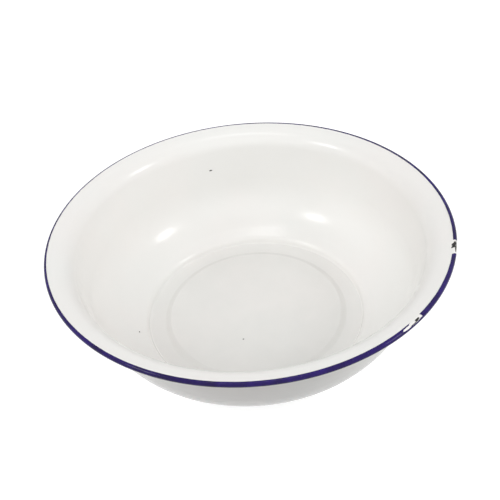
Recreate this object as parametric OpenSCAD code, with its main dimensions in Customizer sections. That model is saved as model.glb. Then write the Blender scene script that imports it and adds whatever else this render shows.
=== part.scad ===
// Round wash basin of enamelled steel sheet, standing on its foot ring.
// +Z is up and the origin is at the centre of the foot, at the level it stands on.
// Every layer follows one line, the inside face of the steel, which runs from
// the rolled rim over the flange and down the wall to the middle of the floor.

/* [Overall size] */
// Diameter over the rolled rim
rim_d = 360; // [320:10:400]
// Height from the foot ring to the top of the rim
bowl_h = 106; // [96:1:120]

/* [Rim and flange] */
// Diameter of the rolled rim's round section, enamel included
bead_d = 4.4; // [4:0.1:6]
// Part of a full turn that the rim's curl goes round
curl_sweep = 280; // [240:5:285]
// Width of the flange from the rim's outer edge to the bend into the wall
flange_w = 21.5; // [18:0.5:28]
// Fall of the flange towards the middle, in degrees
flange_slope = 20; // [12:1:28]
// Radius of the soft bend between flange and wall
flange_bend_r = 18; // [10:1:22]

/* [Wall] */
// Slope of the upper wall, in degrees from level
wall_slope = 78; // [72:1:82]
// Radius of the hollow sweep from the wall into the lower slope
wall_sweep_r = 62; // [50:1:70]
// Slope of the lowest part of the wall, in degrees
lower_slope = 27; // [20:1:30]

/* [Floor and foot] */
// Diameter of the ridge where the wall steps down into the foot channel
ridge_d = 210; // [196:1:220]
// Rounding of that ridge
ridge_r = 8; // [5:0.5:10]
// Height of the step from the ridge down to the channel
step_h = 5.5; // [4.5:0.1:7]
// Run of the step measured outwards from the channel
step_run = 1.8; // [1:0.1:3]
// Rounding at the bottom of the step
channel_r = 2; // [1.5:0.1:2.5]
// Width of the channel floor, which is the ring that the basin stands on
channel_w = 15.5; // [14:0.5:22]
// Rise of the middle disc above the channel
disc_rise = 1.8; // [1.5:0.1:3]
// Width of the soft slope from the channel up to the disc
disc_run = 5; // [4.5:0.5:8]
// Rounding at both ends of that slope
disc_edge_r = 4; // [3:0.5:5]

/* [Sheet and enamel] */
// Thickness of the steel sheet
sheet_t = 0.6; // [0.5:0.05:0.7]
// Thickness of the dark ground coat
ground_t = 0.15; // [0.12:0.01:0.2]
// Thickness of the white cover coat
white_t = 0.25; // [0.2:0.01:0.3]
// Thickness of the blue coat on the rim
band_t = 0.2; // [0.15:0.01:0.25]
// How far round the rim, past the flange, the blue coat begins, in degrees
band_start = 8; // [0:1:20]

/* [Hidden] */
$fn = 180;
// Largest gap between a true curve and the short runs that stand for it
curve_gap = 0.01;
// Most of the room beside its neighbours that the rounding of a corner may take
rounding_share = 0.98;

// Offsets of the layers from the steel's inside face, towards the inside
in_ground = ground_t;
in_white = in_ground + white_t;
in_band = in_white + band_t;
out_steel = -sheet_t;
out_ground = out_steel - ground_t;
out_white = out_ground - white_t;

// The rim's round section: the steel's outside radius and the middle of the curl
curl_r = bead_d / 2 - in_band;
curl_at = [rim_d / 2 - bead_d / 2, bowl_h - bead_d / 2];

// Direction in which a line falls towards the axis at a slope, and its inside normal
function falling(slope) = [-cos(slope), -sin(slope)];
function inside(dir) = [dir.y, -dir.x];
function unit(v) = v / norm(v);
function cross2(a, b) = a.x * b.y - a.y * b.x;
// Where the line from p along u meets the line from q along v
function meeting(p, u, q, v) = p + u * cross2(q - p, v) / cross2(u, v);

flange_dir = falling(flange_slope);
wall_dir = falling(wall_slope);
lower_dir = falling(lower_slope);

// Corners of the line, each one rounded by the radius beside it
flange_start = curl_at + curl_r * inside(flange_dir);
flange_len = (flange_start.x - (rim_d / 2 - flange_w)) / cos(flange_slope);
flange_bend = flange_start + flange_len * flange_dir;
channel_z = -out_white;
channel_out = ridge_d / 2 - step_run;
channel_in = channel_out - channel_w;
ridge = [ridge_d / 2, channel_z + step_h];
wall_foot = meeting(flange_bend, wall_dir, ridge, lower_dir);
corners = [
    [flange_start, 0],
    [flange_bend, flange_bend_r],
    [wall_foot, wall_sweep_r],
    [ridge, ridge_r],
    [[channel_out, channel_z], channel_r],
    [[channel_in, channel_z], disc_edge_r],
    [[channel_in - disc_run, channel_z + disc_rise], disc_edge_r],
    [[0, channel_z + disc_rise], 0]
];
last = len(corners) - 1;

// The outside coats begin at the mouth of the curl
mouth = curl_r;

// The direction of each straight run, and what each rounded corner takes from it
function run_dir(i) = unit(corners[i + 1][0] - corners[i][0]);
function run_len(i) = norm(corners[i + 1][0] - corners[i][0]);
function turn(i) = asin(cross2(run_dir(i - 1), run_dir(i)));
function full_cut(i) = i == 0 || i == last ? 0 : corners[i][1] * tan(abs(turn(i)) / 2);
// What corner i may take of its run to corner j: the wider rounding leaves the other one whole
function part_of_run(run, i, j) = full_cut(i) > full_cut(j) ? run - full_cut(j) : run / 2;
function room(i) = min(part_of_run(run_len(i - 1), i, i - 1), part_of_run(run_len(i), i, i + 1));
function cut(i) = i == 0 || i == last ? 0 : min(full_cut(i), room(i) * rounding_share);
function corner_r(i) = cut(i) / tan(abs(turn(i)) / 2);

// How many short runs stand for an arc
function runs(r, sweep) = ceil(sweep / (2 * acos(1 - curve_gap / r)));

// The points of one rounded corner at an offset from the line
function corner_points(i, offset) =
    let (
        u = run_dir(i - 1),
        side = sign(turn(i)),
        centre = corners[i][0] - u * cut(i) - side * corner_r(i) * inside(u),
        r = corner_r(i) + side * offset,
        first = atan2(inside(u).y * side, inside(u).x * side),
        count = runs(corner_r(i), abs(turn(i)))
    )
    [for (k = [0:count]) centre + r * [cos(first + turn(i) * k / count), sin(first + turn(i) * k / count)]];

// The points of the whole line below the rim, at an offset from it
function bowl_points(offset, skip) = concat(
    [flange_start + flange_dir * skip + inside(flange_dir) * offset],
    [for (i = [1:last - 1]) each corner_points(i, offset)],
    [corners[last][0] + [0, offset]]
);

// The points of the rim's curl at an offset, from its free edge round to the flange
function curl_points(offset, late) =
    let (
        sweep = curl_sweep - late,
        first = 90 + flange_slope - curl_sweep,
        count = runs(curl_r, curl_sweep)
    )
    [for (k = [0:count])
        curl_at + (curl_r + offset) * [cos(first + sweep * k / count), sin(first + sweep * k / count)]];

// Both of them as one line, without the point that they share twice
function rimmed_points(offset) = concat(
    [for (k = [0:len(curl_points(offset, 0)) - 2]) curl_points(offset, 0)[k]],
    bowl_points(offset, 0)
);
function backwards(points) = [for (k = [len(points) - 1:-1:0]) points[k]];

// A layer between two such lines, turned about the axis
module layer(lower, upper) {
    rotate_extrude()
        polygon(concat(upper, backwards(lower)));
}

// The pressed bowl with its hollow rolled rim
module steel_shell() {
    color([0.42, 0.42, 0.44])
        layer(rimmed_points(out_steel), rimmed_points(0));
}

// Dark first coat on the inside, over the flange and round the rim
module ground_coat_inner() {
    color([0.08, 0.08, 0.1])
        layer(rimmed_points(0), rimmed_points(in_ground));
}

// Dark first coat on the outside, from the mouth of the curl to the foot
module ground_coat_outer() {
    color([0.08, 0.08, 0.1])
        layer(bowl_points(out_ground, mouth), bowl_points(out_steel, mouth));
}

// White cover coat on the inside, over the flange and round the rim
module white_coat_inner() {
    color([0.95, 0.94, 0.92])
        layer(rimmed_points(in_ground), rimmed_points(in_white));
}

// White cover coat on the outside and under the foot
module white_coat_outer() {
    color([0.93, 0.92, 0.9])
        layer(bowl_points(out_white, mouth), bowl_points(out_ground, mouth));
}

// Dark blue coat laid over the white on the rolled rim
module rim_band() {
    color([0.12, 0.1, 0.42])
        layer(curl_points(in_white, band_start), curl_points(in_band, band_start));
}

// Which piece to show

steel_shell();
ground_coat_inner();
ground_coat_outer();
white_coat_inner();
white_coat_outer();
rim_band();
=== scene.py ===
import math

import bpy
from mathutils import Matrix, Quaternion, Vector


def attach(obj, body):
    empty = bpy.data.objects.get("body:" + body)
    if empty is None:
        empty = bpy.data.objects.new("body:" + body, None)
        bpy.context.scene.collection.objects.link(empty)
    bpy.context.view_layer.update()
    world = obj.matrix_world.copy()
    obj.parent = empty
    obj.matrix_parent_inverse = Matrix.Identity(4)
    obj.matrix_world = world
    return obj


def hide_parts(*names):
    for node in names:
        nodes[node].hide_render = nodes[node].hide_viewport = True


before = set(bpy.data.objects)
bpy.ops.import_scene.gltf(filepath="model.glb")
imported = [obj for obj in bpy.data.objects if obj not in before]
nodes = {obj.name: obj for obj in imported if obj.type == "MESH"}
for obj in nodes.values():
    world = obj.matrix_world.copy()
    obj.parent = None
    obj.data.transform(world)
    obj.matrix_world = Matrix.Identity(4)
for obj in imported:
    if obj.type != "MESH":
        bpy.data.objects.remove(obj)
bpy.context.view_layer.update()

# Sizes of the basin, in metres, as the part's source has them
RIM_D = 0.360
BOWL_H = 0.106
BEAD_D = 0.0044
CURL_SWEEP = 280
FLANGE_W = 0.0215
FLANGE_SLOPE = 20
FLANGE_BEND_R = 0.018
WALL_SLOPE = 78
WALL_SWEEP_R = 0.062
LOWER_SLOPE = 27
RIDGE_D = 0.210
RIDGE_R = 0.008
STEP_H = 0.0055
STEP_RUN = 0.0018
CHANNEL_R = 0.002
CHANNEL_W = 0.0155
DISC_RISE = 0.0018
DISC_RUN = 0.005
DISC_EDGE_R = 0.004
SHEET_T = 0.0006
GROUND_T = 0.00015
WHITE_T = 0.00025
BAND_T = 0.0002

# The blue's inner edge is a ring a little off the axis, so that the band is widest at the right
BAND_EDGE_R = 0.17700
BAND_EDGE_OFF = 0.0006
BAND_EDGE_AZIMUTH = 158
BAND_EDGE_HEIGHTS = (0.1045, 0.1075)
BAND_EDGE_WOBBLE = 0.00008
# How far down the flange the blue is made before that ring trims it
BAND_REACH = 0.0030

# Offsets of the layers from the steel's inside face, towards the inside
IN_GROUND = GROUND_T
IN_WHITE = IN_GROUND + WHITE_T
IN_BAND = IN_WHITE + BAND_T
OUT_GROUND = -SHEET_T - GROUND_T
OUT_WHITE = OUT_GROUND - WHITE_T

CURL_R = BEAD_D / 2 - IN_BAND
CURL_AT = Vector((RIM_D / 2 - BEAD_D / 2, BOWL_H - BEAD_D / 2))

# How finely the turned pieces are made
TURN_STEPS = 240
ARC_STEP = math.radians(6)
CURL_STEP = math.radians(14)
# Size of the small face that is merged into the first point of a section
FIRST_FACE = 0.001
# Points nearer than this are one, in the section and once it is spun
SAME_POINT = 0.000002
SAME_SPUN_POINT = 0.000005
SMOOTH_BELOW = math.radians(35)
# A short run beside each rounding keeps the shading of the straight runs level
BESIDE_ARC = 0.0003
# How finely the straight breaks in the blue are divided, and how uneven they are
BREAK_CUTS = 7
BREAK_WOBBLE = 0.00012


# The line that every coat follows, as (distance from the axis, height)

def falling(slope):
    a = math.radians(slope)
    return Vector((-math.cos(a), -math.sin(a)))


def inside(direction):
    return Vector((direction.y, -direction.x))


def cross(a, b):
    return a.x * b.y - a.y * b.x


def around(angle):
    return Vector((math.cos(angle), math.sin(angle)))


def meeting(p, u, q, v):
    return p + u * (cross(q - p, v) / cross(u, v))


def line_corners():
    """Corners of the line with the radius that rounds each of them."""
    flange_dir = falling(FLANGE_SLOPE)
    start = CURL_AT + CURL_R * inside(flange_dir)
    length = (start.x - (RIM_D / 2 - FLANGE_W)) / -flange_dir.x
    bend = start + length * flange_dir
    channel_z = -OUT_WHITE
    channel_out = RIDGE_D / 2 - STEP_RUN
    channel_in = channel_out - CHANNEL_W
    ridge = Vector((RIDGE_D / 2, channel_z + STEP_H))
    foot = meeting(bend, falling(WALL_SLOPE), ridge, falling(LOWER_SLOPE))
    return [
        (start, 0),
        (bend, FLANGE_BEND_R),
        (foot, WALL_SWEEP_R),
        (ridge, RIDGE_R),
        (Vector((channel_out, channel_z)), CHANNEL_R),
        (Vector((channel_in, channel_z)), DISC_EDGE_R),
        (Vector((channel_in - DISC_RUN, channel_z + DISC_RISE)), DISC_EDGE_R),
        (Vector((0, channel_z + DISC_RISE)), 0),
    ]


CORNERS = line_corners()


def bowl_line(offset, skip=0.0):
    """The line below the rim at an offset from it, from the flange to the axis."""
    first = (CORNERS[1][0] - CORNERS[0][0]).normalized()
    points = [CORNERS[0][0] + first * skip + inside(first) * offset]
    for before, (corner, radius), after in zip(CORNERS, CORNERS[1:], CORNERS[2:]):
        u = (corner - before[0]).normalized()
        v = (after[0] - corner).normalized()
        turn = math.asin(cross(u, v))
        side = 1 if turn > 0 else -1
        centre = corner - u * radius * math.tan(abs(turn) / 2) - side * radius * inside(u)
        start = math.atan2(inside(u).y * side, inside(u).x * side)
        count = math.ceil(abs(turn) / ARC_STEP)
        arc = [centre + (radius + side * offset) * around(start + turn * k / count)
               for k in range(count + 1)]
        points += [arc[0] - BESIDE_ARC * u] + arc + [arc[-1] + BESIDE_ARC * v]
    points.append(CORNERS[-1][0] + Vector((0, offset)))
    return points


def curl_line(offset):
    """The rolled rim at an offset, from its free edge round to the flange."""
    first = math.radians(90 + FLANGE_SLOPE - CURL_SWEEP)
    sweep = math.radians(CURL_SWEEP)
    count = math.ceil(sweep / CURL_STEP)
    return [CURL_AT + (CURL_R + offset) * around(first + sweep * k / count)
            for k in range(count + 1)]


def band_line(offset):
    """The rolled rim with the start of the flange, as far in as the blue reaches."""
    curl = curl_line(offset)
    return curl + [curl[-1] + BAND_REACH * falling(FLANGE_SLOPE)]


def rimmed_line(offset):
    return curl_line(offset)[:-1] + bowl_line(offset)


# Meshes, made with the same steps as by hand

def only(piece):
    """Leaves nothing but this piece selected and active."""
    bpy.ops.object.select_all(action="DESELECT")
    piece.select_set(True)
    bpy.context.view_layer.objects.active = piece


def begin(name):
    """Names the piece just added and opens all of it for editing."""
    piece = bpy.context.object
    piece.name = piece.data.name = name
    bpy.ops.object.mode_set(mode="EDIT")
    bpy.ops.mesh.select_all(action="SELECT")
    return piece


def settle(piece):
    """Takes the piece's own place and turn into its points."""
    only(piece)
    bpy.ops.object.transform_apply(location=True, rotation=True, scale=True)


def turned_coat(name, lower, upper):
    """A coat between two lines: its section is drawn point by point and spun about the axis."""
    outline = upper + lower[::-1]
    bpy.ops.object.select_all(action="DESELECT")
    at = outline[0]
    bpy.ops.mesh.primitive_plane_add(size=FIRST_FACE, location=(at.x, 0, at.y))
    settle(bpy.context.object)
    piece = begin(name)
    bpy.ops.mesh.merge(type="CENTER")
    for p, q in zip(outline, outline[1:] + outline[:1]):
        step = (q.x - p.x, 0, q.y - p.y)
        bpy.ops.mesh.extrude_vertices_move(TRANSFORM_OT_translate={"value": step})
    bpy.ops.mesh.select_all(action="SELECT")
    bpy.ops.mesh.remove_doubles(threshold=SAME_POINT)
    bpy.ops.mesh.select_all(action="SELECT")
    bpy.ops.mesh.spin(steps=TURN_STEPS, angle=2 * math.pi, center=(0, 0, 0), axis=(0, 0, 1))
    bpy.ops.mesh.select_all(action="SELECT")
    bpy.ops.mesh.remove_doubles(threshold=SAME_SPUN_POINT)
    bpy.ops.mesh.select_all(action="SELECT")
    bpy.ops.mesh.delete_loose(use_verts=True, use_edges=True, use_faces=False)
    bpy.ops.mesh.select_all(action="SELECT")
    bpy.ops.mesh.normals_make_consistent(inside=False)
    bpy.ops.object.mode_set(mode="OBJECT")
    return piece


def on_rim(name, azimuth, roll, size, rough, seed, skew=0):
    """A break in the coats of the rolled rim. Roll 0 faces outward and 90 faces up."""
    p = CURL_AT + (CURL_R + IN_WHITE) * around(math.radians(roll))
    return lump(name, spot(azimuth, p.x, p.y), size, azimuth, 90 - roll, rough, seed, skew)


def on_wall(name, azimuth, r, z, slope, size, rough, seed):
    """A break in the inside white where the wall has this slope towards the axis."""
    return lump(name, spot(azimuth, r, z), size, azimuth, -slope, rough, seed)


def spot(azimuth, r, z):
    a = math.radians(azimuth)
    return Vector((r * math.cos(a), r * math.sin(a), z))


def lump(name, at, size, azimuth, tilt, rough, seed, skew=0):
    """A rough lens of the shape that a blow breaks out: its size along the rim, across it, deep."""
    bpy.ops.object.select_all(action="DESELECT")
    bpy.ops.mesh.primitive_ico_sphere_add(subdivisions=3, radius=1, location=(0, 0, 0))
    piece = begin(name)
    bpy.ops.transform.vertex_random(offset=rough, uniform=0.35, normal=0.65, seed=seed)
    bpy.ops.transform.resize(value=size, center_override=(0, 0, 0))
    bpy.ops.object.mode_set(mode="OBJECT")
    place(piece, at, azimuth, tilt, skew)
    return piece


def place(piece, at, azimuth, tilt, skew=0):
    """Turns a piece made at the origin so that X runs along the rim, tips it and sets it down."""
    turn = (Quaternion((0, 0, 1), math.radians(azimuth + 90))
            @ Quaternion((1, 0, 0), math.radians(tilt))
            @ Quaternion((0, 0, 1), math.radians(skew)))
    piece.rotation_mode = "QUATERNION"
    piece.rotation_quaternion = turn
    piece.location = at
    settle(piece)


def cut_away(piece, cutters):
    """Breaks the rough lumps out of a coat in one go, then clears them away."""
    group = bpy.data.collections.new("breaks of " + piece.name)
    for cutter in cutters:
        group.objects.link(cutter)
    mod = piece.modifiers.new("break", "BOOLEAN")
    mod.operation = "DIFFERENCE"
    mod.solver = "MANIFOLD"
    mod.operand_type = "COLLECTION"
    mod.collection = group
    only(piece)
    bpy.ops.object.modifier_apply(modifier=mod.name)
    for cutter in cutters:
        bpy.data.meshes.remove(cutter.data)
    bpy.data.collections.remove(group)


def band_edge_disc(name, seed):
    """A slightly uneven disc off the axis, which trims the blue to its inner edge."""
    low, high = BAND_EDGE_HEIGHTS
    bpy.ops.object.select_all(action="DESELECT")
    bpy.ops.mesh.primitive_cylinder_add(
        vertices=TURN_STEPS, radius=BAND_EDGE_R, depth=high - low,
        location=spot(BAND_EDGE_AZIMUTH, BAND_EDGE_OFF, (low + high) / 2))
    piece = begin(name)
    bpy.ops.transform.vertex_random(offset=BAND_EDGE_WOBBLE, uniform=1, normal=0, seed=seed)
    bpy.ops.object.mode_set(mode="OBJECT")
    settle(piece)
    return piece


def break_block(name, high, low, slant, radial, heights, seed):
    """A block over the rim between two azimuths, whose low end is cut slanting across the roll.

    Its reach inwards and outwards and its heights are measured from the middle of the roll.
    """
    length = math.radians(high - low) * RIM_D / 2
    width = radial[1] - radial[0]
    bpy.ops.object.select_all(action="DESELECT")
    bpy.ops.mesh.primitive_cube_add(size=1, location=(0, 0, 0))
    piece = begin(name)
    # Y points to the axis here and X towards the higher azimuth
    size = (length + 2 * slant, width, heights[1] - heights[0])
    bpy.ops.transform.resize(value=size, center_override=(0, 0, 0))
    bpy.ops.transform.translate(value=(-slant, 0, 0))
    if slant:
        # The plane needs a normal about one long, and its cut stays open until it is filled
        bpy.ops.mesh.bisect(plane_co=(-(length + slant) / 2, 0, 0),
                            plane_no=(1, slant / width, 0), clear_inner=True)
        bpy.ops.mesh.edge_face_add()
        bpy.ops.mesh.select_all(action="SELECT")
        bpy.ops.mesh.normals_make_consistent(inside=False)
    bpy.ops.mesh.subdivide(number_cuts=BREAK_CUTS)
    bpy.ops.transform.vertex_random(offset=BREAK_WOBBLE, uniform=1, normal=0, seed=seed)
    bpy.ops.object.mode_set(mode="OBJECT")
    middle = (high + low) / 2
    at = spot(middle, RIM_D / 2 - BEAD_D / 2 + sum(radial) / 2, CURL_AT.y + sum(heights) / 2)
    place(piece, at, middle, 0)
    return piece


# The coats, each with its damage broken out of it

blue = turned_coat("blue_rim", band_line(IN_WHITE), band_line(IN_BAND))
white_in = turned_coat("white_inside", rimmed_line(IN_GROUND), rimmed_line(IN_WHITE))
white_out = turned_coat("white_outside", bowl_line(OUT_WHITE, CURL_R), bowl_line(OUT_GROUND, CURL_R))
ground_in = turned_coat("ground_inside", rimmed_line(0), rimmed_line(IN_GROUND))

# Chip a is the large one at the right end: the blue is gone from a straight break to a
# slanted one. Chip b is the long one nearer the front, where a sliver of blue is left
# along the outside.
blue_cuts = [
    band_edge_disc("blue_inner_edge", 2),
    break_block("chip_a_blue", 345.6, 340.4, 0.0036, (-0.0035, 0.0034), (-0.0008, 0.004), 3),
    break_block("chip_b_end", 314.2, 311.9, 0.0, (-0.0035, 0.0015), (0.0004, 0.004), 6),
    on_rim("chip_b_blue", 311.5, 84, (0.0070, 0.0025, 0.0009), 0.06, 5),
    on_rim("chip_b_tail", 308.7, 66, (0.0062, 0.0011, 0.0005), 0.06, 8),
    on_rim("back_nick", 61.8, 70, (0.0012, 0.0009, 0.0005), 0.08, 4),
]
white_cuts = [
    on_rim("chip_a_root", 344.5, 72, (0.0023, 0.0022, 0.0008), 0.14, 11),
    on_rim("chip_a_prong", 344.0, 102, (0.0018, 0.0036, 0.0010), 0.14, 12, 40),
    on_rim("chip_a_low", 342.9, 102, (0.0016, 0.0034, 0.0010), 0.14, 21, 36),
    on_rim("chip_a_edge", 342.5, 50, (0.0066, 0.0011, 0.0007), 0.08, 14),
    on_rim("chip_b_root", 312.4, 78, (0.0030, 0.0011, 0.0007), 0.14, 15),
    on_rim("chip_b_edge", 311.2, 46, (0.0080, 0.0004, 0.0004), 0.06, 16),
    on_wall("speck_back", 102.9, 0.1520, 0.0699, WALL_SLOPE, (0.0019, 0.0008, 0.0006), 0.16, 31),
    on_wall("speck_left", 192.1, 0.1133, 0.0112, LOWER_SLOPE, (0.0011, 0.0008, 0.0005), 0.16, 32),
    on_wall("speck_floor", 249.9, 0.0405, 0.0032, 0, (0.0010, 0.0008, 0.0005), 0.16, 33),
]
ground_cuts = [
    on_rim("chip_a_bare", 345.0, 74, (0.0010, 0.0017, 0.0010), 0.12, 41),
    on_rim("chip_a_bare_low", 343.4, 56, (0.0011, 0.0006, 0.0008), 0.14, 42),
]
cut_away(blue, blue_cuts)
cut_away(white_in, white_cuts)
cut_away(ground_in, ground_cuts)

for coat in (blue, white_in, white_out, ground_in):
    only(coat)
    bpy.ops.object.shade_smooth_by_angle(angle=SMOOTH_BELOW)
    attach(coat, "root")
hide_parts("rim_band")
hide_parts("white_coat_inner")
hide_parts("white_coat_outer")
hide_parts("ground_coat_inner")


# Finishes

def new_material(name):
    material = bpy.data.materials.new(name)
    material.use_nodes = True
    tree = material.node_tree
    shader = tree.nodes["Principled BSDF"]
    coords = tree.nodes.new("ShaderNodeTexCoord")
    return material, tree, shader, coords.outputs["Object"]


def noise(tree, coords, scale, detail=2.0, roughness=0.5, stretch=None):
    """Noise on the piece's own coordinates, stretched along an axis where it is given."""
    if stretch:
        mapping = tree.nodes.new("ShaderNodeMapping")
        mapping.inputs["Scale"].default_value = stretch
        tree.links.new(coords, mapping.inputs["Vector"])
        coords = mapping.outputs["Vector"]
    node = tree.nodes.new("ShaderNodeTexNoise")
    node.inputs["Scale"].default_value = scale
    node.inputs["Detail"].default_value = detail
    node.inputs["Roughness"].default_value = roughness
    tree.links.new(coords, node.inputs["Vector"])
    return node.outputs["Fac"]


def ramp(tree, fac, low, high, low_color, high_color):
    """Colour that passes from one to the other between two levels of a value."""
    node = tree.nodes.new("ShaderNodeValToRGB")
    node.color_ramp.elements[0].position = low
    node.color_ramp.elements[0].color = (*low_color, 1)
    node.color_ramp.elements[1].position = high
    node.color_ramp.elements[1].color = (*high_color, 1)
    tree.links.new(fac, node.inputs["Fac"])
    return node.outputs["Color"]


def spread(tree, value, low, high, to_low, to_high):
    """A value's range from low to high laid over another range, and held at its ends."""
    node = tree.nodes.new("ShaderNodeMapRange")
    for name, v in (("From Min", low), ("From Max", high), ("To Min", to_low), ("To Max", to_high)):
        node.inputs[name].default_value = v
    tree.links.new(value, node.inputs["Value"])
    return node.outputs["Result"]


def mixed(tree, fac, a, b):
    """Colour a where the factor is zero and b where it is one."""
    node = tree.nodes.new("ShaderNodeMix")
    node.data_type = "RGBA"
    tree.links.new(fac, node.inputs["Factor"])
    for socket, value in ((node.inputs[6], a), (node.inputs[7], b)):
        if isinstance(value, tuple):
            socket.default_value = (*value, 1)
        else:
            tree.links.new(value, socket)
    return node.outputs[2]


def math_node(tree, operation, *values):
    node = tree.nodes.new("ShaderNodeMath")
    node.operation = operation
    for socket, value in zip(node.inputs, values):
        if isinstance(value, (int, float)):
            socket.default_value = value
        else:
            tree.links.new(value, socket)
    return node.outputs["Value"]


def bump(tree, shader, height, distance, strength=1.0, under=None):
    """Relief of a depth in metres, laid over another one where that is given."""
    node = tree.nodes.new("ShaderNodeBump")
    node.inputs["Distance"].default_value = distance
    node.inputs["Strength"].default_value = strength
    tree.links.new(height, node.inputs["Height"])
    if under:
        tree.links.new(under, node.inputs["Normal"])
    tree.links.new(node.outputs["Normal"], shader.inputs["Normal"])
    return node.outputs["Normal"]


def shade_and_wear_zone(tree, coords):
    """Where the painted shade and the wear lie: one on the basin's low middle, fading out towards the
    ridge and with height.
    """
    split = tree.nodes.new("ShaderNodeSeparateXYZ")
    tree.links.new(coords, split.inputs["Vector"])
    across = math_node(tree, "SQRT", math_node(
        tree, "ADD",
        math_node(tree, "MULTIPLY", split.outputs["X"], split.outputs["X"]),
        math_node(tree, "MULTIPLY", split.outputs["Y"], split.outputs["Y"])))
    near = spread(tree, across, *SHADE_FADES_ACROSS, 1, 0)
    low = spread(tree, split.outputs["Z"], *SHADE_FADES_UP, 1, 0)
    return math_node(tree, "MULTIPLY", near, low)


WARM_WHITE = (0.816, 0.798, 0.776)
COOL_WHITE = (0.804, 0.800, 0.778)
# Grey of the painted shade on the basin's low middle and where it fades out; wear makes the same zone
# rougher
PAINTED_SHADE_GREY = (0.62, 0.615, 0.59)
SHADE_FADES_ACROSS = (0.079, 0.109)
SHADE_FADES_UP = (0.006, 0.012)
WEAR_ROUGHENS = 0.04


def white_enamel(name, shade_and_wear_level):
    """Fired white enamel: faintly clouded, nearly level, with painted shade of uneven strength on the
    basin's low middle, where the glaze is also rubbed a little rougher.

    Its roughness stays below 0.27 all over, because denoising leaves false patches where a
    finish passes that value.
    """
    material, tree, shader, coords = new_material(name)
    base = ramp(tree, noise(tree, coords, 9, 3), 0.38, 0.62, WARM_WHITE, COOL_WHITE)
    uneven_strength = spread(tree, noise(tree, coords, 34, 4, 0.6), 0.3, 0.7, shade_and_wear_level * 0.7, shade_and_wear_level)
    shade_and_wear = math_node(tree, "MULTIPLY", shade_and_wear_zone(tree, coords), uneven_strength)
    # Painted shade: the base colour turns grey on the basin's low middle, unevenly strong
    tree.links.new(mixed(tree, shade_and_wear, base, PAINTED_SHADE_GREY), shader.inputs["Base Color"])
    rough = spread(tree, noise(tree, coords, 160, 3), 0.35, 0.7, 0.18, 0.23)
    rough = math_node(tree, "ADD", rough, math_node(tree, "MULTIPLY", shade_and_wear, WEAR_ROUGHENS))
    tree.links.new(rough, shader.inputs["Roughness"])
    shader.inputs["IOR"].default_value = 1.52
    waves = bump(tree, shader, noise(tree, coords, 55, 2), 0.00008)
    scratches = noise(tree, coords, 260, 2, 0.5, (0.15, 1.0, 1.0))
    bump(tree, shader, spread(tree, scratches, 0.62, 0.7, 0, 1), 0.00001, 0.4, waves)
    return material


def blue_enamel():
    """Dark blue enamel: faintly blotched, with small pits."""
    material, tree, shader, coords = new_material("rim blue enamel")
    blotch = noise(tree, coords, 70, 4, 0.6)
    color = ramp(tree, blotch, 0.35, 0.68, (0.008, 0.001, 0.060), (0.018, 0.004, 0.130))
    pits = spread(tree, noise(tree, coords, 1100, 2), 0.70, 0.76, 0, 1)
    color = mixed(tree, pits, color, (0.10, 0.09, 0.16))
    tree.links.new(color, shader.inputs["Base Color"])
    rough = spread(tree, noise(tree, coords, 220, 3), 0.3, 0.7, 0.07, 0.16)
    tree.links.new(rough, shader.inputs["Roughness"])
    shader.inputs["Specular IOR Level"].default_value = 0.24
    bump(tree, shader, noise(tree, coords, 130, 3), 0.00006)
    return material


def ground_enamel():
    """Rough dark ground coat, as the floor of a chip shows it."""
    material, tree, shader, coords = new_material("chipped ground enamel")
    grain = noise(tree, coords, 900, 5, 0.65)
    color = ramp(tree, grain, 0.35, 0.7, (0.006, 0.006, 0.007), (0.040, 0.038, 0.036))
    tree.links.new(color, shader.inputs["Base Color"])
    shader.inputs["Specular IOR Level"].default_value = 0.3
    tree.links.new(spread(tree, grain, 0.3, 0.7, 0.35, 0.7), shader.inputs["Roughness"])
    bump(tree, shader, grain, 0.00015)
    return material


def bare_steel():
    """Sheet steel laid bare: grey, with brown rust where it has stood wet."""
    material, tree, shader, coords = new_material("bare sheet steel")
    grain = noise(tree, coords, 700, 5, 0.6)
    rust = spread(tree, noise(tree, coords, 320, 4, 0.7), 0.55, 0.66, 0, 0.5)
    grey = ramp(tree, grain, 0.3, 0.7, (0.20, 0.20, 0.20), (0.38, 0.375, 0.36))
    tree.links.new(mixed(tree, rust, grey, (0.12, 0.06, 0.03)), shader.inputs["Base Color"])
    tree.links.new(spread(tree, rust, 0, 0.5, 0.75, 0.05), shader.inputs["Metallic"])
    tree.links.new(spread(tree, grain, 0.3, 0.7, 0.35, 0.6), shader.inputs["Roughness"])
    bump(tree, shader, grain, 0.00005)
    return material


def dress(piece, material):
    piece.data.materials.clear()
    piece.data.materials.append(material)


def dress_node(name, material):
    for slot in nodes[name].material_slots:
        slot.material = material


# Painted shade on the low middle of both coats: the inside floor at 0.4, the outside's underside at
# 0.8
dress(white_in, white_enamel("white enamel inside", 0.4))
dress(white_out, white_enamel("white enamel outside", 0.8))
dress(blue, blue_enamel())
ground_finish = ground_enamel()
dress(ground_in, ground_finish)
dress_node("ground_coat_outer", ground_finish)
dress_node("steel_shell", bare_steel())


# Floor and backdrop: pale, white to the camera apart from the basin's shadow

FLOOR_TONE = (0.38, 0.38, 0.38)
FLOOR_RADIUS = 6
FLOOR_SIDES = 96
# The floor lies a hair below the foot, so that the two faces aren't one
FLOOR_BELOW = 0.0001
# The floor's own light, and the distances between which it rises to full white
FLOOR_LIFT = 0.80
FLOOR_NEAR = 0.5
FLOOR_FAR = 1.5
WORLD_LEVEL = 0.07


def see_through_rays(tree):
    """One for rays from the camera and for reflected and transmitted ones."""
    path = tree.nodes.new("ShaderNodeLightPath")
    either = math_node(tree, "MAXIMUM", path.outputs["Is Camera Ray"], path.outputs["Is Glossy Ray"])
    return math_node(tree, "MAXIMUM", either, path.outputs["Is Transmission Ray"])


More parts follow.
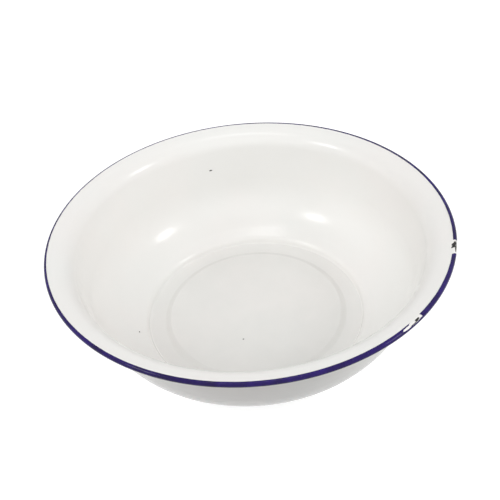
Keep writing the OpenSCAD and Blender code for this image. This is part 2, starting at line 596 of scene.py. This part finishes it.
def pale_floor():
    """A matt floor that takes the shadow and looks nearly white to the camera."""
    bpy.ops.object.select_all(action="DESELECT")
    bpy.ops.mesh.primitive_circle_add(vertices=FLOOR_SIDES, radius=FLOOR_RADIUS,
                                      fill_type="NGON", location=(0, 0, -FLOOR_BELOW))
    floor = bpy.context.object
    floor.name = floor.data.name = "floor"
    material = bpy.data.materials.new("pale floor")
    material.use_nodes = True
    tree = material.node_tree
    tree.nodes.clear()
    out = tree.nodes.new("ShaderNodeOutputMaterial")
    matt = tree.nodes.new("ShaderNodeBsdfDiffuse")
    matt.inputs["Color"].default_value = (*FLOOR_TONE, 1)
    lift = tree.nodes.new("ShaderNodeEmission")
    coords = tree.nodes.new("ShaderNodeTexCoord")
    away = tree.nodes.new("ShaderNodeVectorMath")
    away.operation = "LENGTH"
    tree.links.new(coords.outputs["Object"], away.inputs[0])
    white = spread(tree, away.outputs["Value"], FLOOR_NEAR, FLOOR_FAR, FLOOR_LIFT, 1.0)
    tree.links.new(math_node(tree, "MULTIPLY", see_through_rays(tree), white), lift.inputs["Strength"])
    both = tree.nodes.new("ShaderNodeAddShader")
    tree.links.new(matt.outputs[0], both.inputs[0])
    tree.links.new(lift.outputs[0], both.inputs[1])
    tree.links.new(both.outputs[0], out.inputs["Surface"])
    floor.data.materials.append(material)
    return floor


pale_floor()

world = bpy.data.worlds.new("studio")
bpy.context.scene.world = world
world.use_nodes = True
sky = world.node_tree
background = sky.nodes["Background"]
background.inputs["Color"].default_value = (1, 1, 1, 1)
level = spread(sky, see_through_rays(sky), 0, 1, WORLD_LEVEL, 1.0)
sky.links.new(level, background.inputs["Strength"])


# Lamps: three small panels give the lights in the glaze, and wide fills that no glaze
# mirrors give the level

LAMP_AWAY = 1.8


def panel(name, azimuth, elevation, size, brightness):
    """A rectangular lamp facing the bowl. Azimuth 0 is the camera's side, 90 is to its right."""
    a, e = math.radians(azimuth), math.radians(elevation)
    data = bpy.data.lights.new(name, "AREA")
    data.shape = "RECTANGLE"
    data.size, data.size_y = size
    data.energy = brightness * math.pi * size[0] * size[1]
    lamp = bpy.data.objects.new(name, data)
    bpy.context.collection.objects.link(lamp)
    aim = Vector((0, 0, BOWL_H / 2))
    way = Vector((math.sin(a) * math.cos(e), -math.cos(a) * math.cos(e), math.sin(e)))
    lamp.location = aim + LAMP_AWAY * way
    lamp.rotation_mode = "QUATERNION"
    lamp.rotation_quaternion = way.to_track_quat("Z", "Y")
    return lamp


panel("left panel", -68, 48, (0.34, 0.34), 10.8)
panel("right panel", 76, 39, (0.34, 0.34), 11.8)
panel("top panel", -150, 85, (0.8, 0.16), 5.0)
for fill in (
    panel("front fill", 0, 50, (2.4, 1.4), 2.15),
    panel("back fill", 180, 45, (2.4, 1.0), 1.1),
    panel("left fill", -85, 26, (1.6, 0.8), 2.8),
    panel("right fill", 85, 20, (1.6, 0.8), 2.9),
):
    fill.visible_glossy = False


# Camera, at the photograph's angle. The picture's side and the focal length are in pixels.

IMAGE = 500
FOCAL = 750
SENSOR = 36
ELEVATION = math.radians(38.15)
DISTANCE = 0.666
ROLL = math.radians(-5.35)
# Where the middle of the rim is seen, in pixels from the top left
CENTRE_AT = (248.0, 228.2)

aim = Vector((0, 0, CURL_AT.y))
back = Vector((0, -math.cos(ELEVATION), math.sin(ELEVATION)))
lens = bpy.data.cameras.new("camera")
lens.sensor_width = SENSOR
lens.lens = SENSOR * FOCAL / IMAGE
lens.clip_start = 0.01
camera = bpy.data.objects.new("camera", lens)
bpy.context.collection.objects.link(camera)
camera.location = aim + DISTANCE * back
level_view = back.to_track_quat("Z", "Y")
rolled = level_view @ Quaternion((0, 0, 1), ROLL)
seen_at = Vector(((CENTRE_AT[0] - IMAGE / 2) / FOCAL, (IMAGE / 2 - CENTRE_AT[1]) / FOCAL, -1))
camera.rotation_mode = "QUATERNION"
camera.rotation_quaternion = rolled @ Vector((0, 0, -1)).rotation_difference(seen_at).inverted()
bpy.context.scene.camera = camera

bpy.context.scene.view_settings.view_transform = "Standard"
